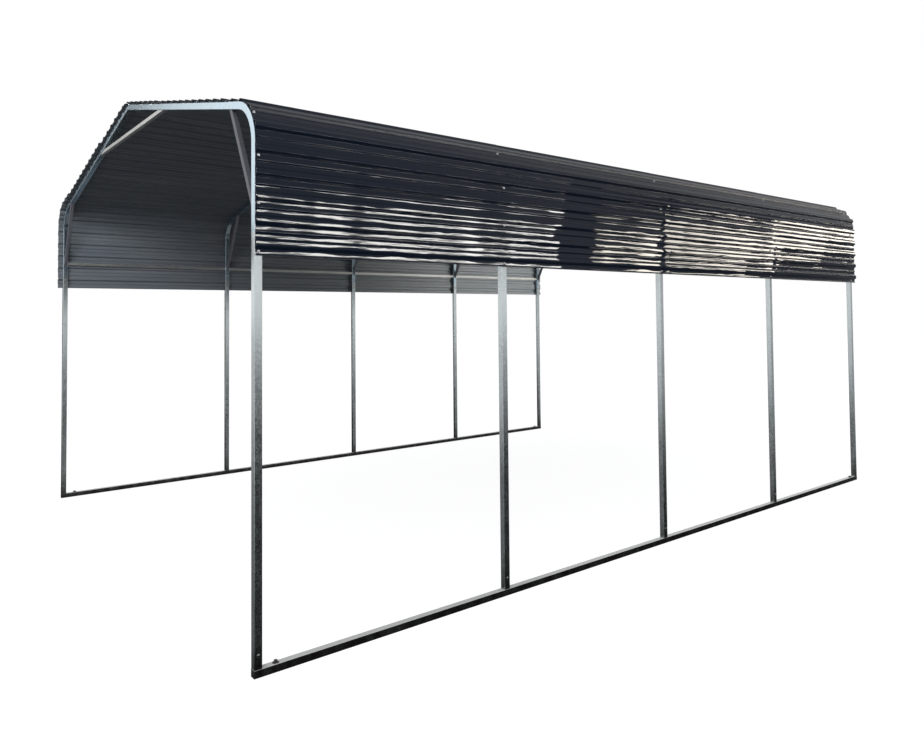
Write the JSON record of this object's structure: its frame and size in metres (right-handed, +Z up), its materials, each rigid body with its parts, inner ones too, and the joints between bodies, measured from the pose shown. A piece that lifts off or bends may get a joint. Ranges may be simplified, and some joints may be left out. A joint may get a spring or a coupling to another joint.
{
  "type": "carport",
  "caption": "Open-sided metal carport: bent square-tube frames on base rails carry a ribbed sheet roof with rolled eaves and side skirts.",
  "frame": {"origin": "on the ground, in the middle of the plan", "axes": "+Z up, +Y along the roof towards the rear gable, +X across the width"},
  "size_m": [4.342, 6.135, 3.0823],
  "materials": {
    "frame_tube": "galvanised, satin",
    "brace_tube": "galvanised, satin",
    "roof_sheet": "gloss coated steel"
  },
  "bodies": {
    "root": {"left_base_rail_front": "frame_tube", "left_base_rail_rear": "frame_tube", "right_base_rail_front": "frame_tube", "right_base_rail_rear": "frame_tube", "left_leg_1": "frame_tube", "left_leg_2": "frame_tube", "left_leg_3": "frame_tube", "left_leg_4": "frame_tube", "left_leg_5": "frame_tube", "right_leg_1": "frame_tube", "right_leg_2": "frame_tube", "right_leg_3": "frame_tube", "right_leg_4": "frame_tube", "right_leg_5": "frame_tube", "roof_bow_1": "frame_tube", "roof_bow_2": "frame_tube", "roof_bow_3": "frame_tube", "roof_bow_4": "frame_tube", "roof_bow_5": "frame_tube", "leg_stubs": "frame_tube", "collar_ties": "brace_tube", "left_knee_braces": "brace_tube", "right_knee_braces": "brace_tube", "left_girts": "brace_tube", "right_girts": "brace_tube", "left_eave_sheet_1": "roof_sheet", "left_eave_sheet_2": "roof_sheet", "left_eave_sheet_3": "roof_sheet", "left_eave_sheet_4": "roof_sheet", "right_eave_sheet_1": "roof_sheet", "right_eave_sheet_2": "roof_sheet", "right_eave_sheet_3": "roof_sheet", "right_eave_sheet_4": "roof_sheet", "left_slope_sheet_1": "roof_sheet", "left_slope_sheet_2": "roof_sheet", "left_slope_sheet_3": "roof_sheet", "left_slope_sheet_4": "roof_sheet", "right_slope_sheet_1": "roof_sheet", "right_slope_sheet_2": "roof_sheet", "right_slope_sheet_3": "roof_sheet", "right_slope_sheet_4": "roof_sheet", "ridge_sheet_1": "roof_sheet", "ridge_sheet_2": "roof_sheet", "ridge_sheet_3": "roof_sheet", "ridge_sheet_4": "roof_sheet"}
  },
  "joints": []
}
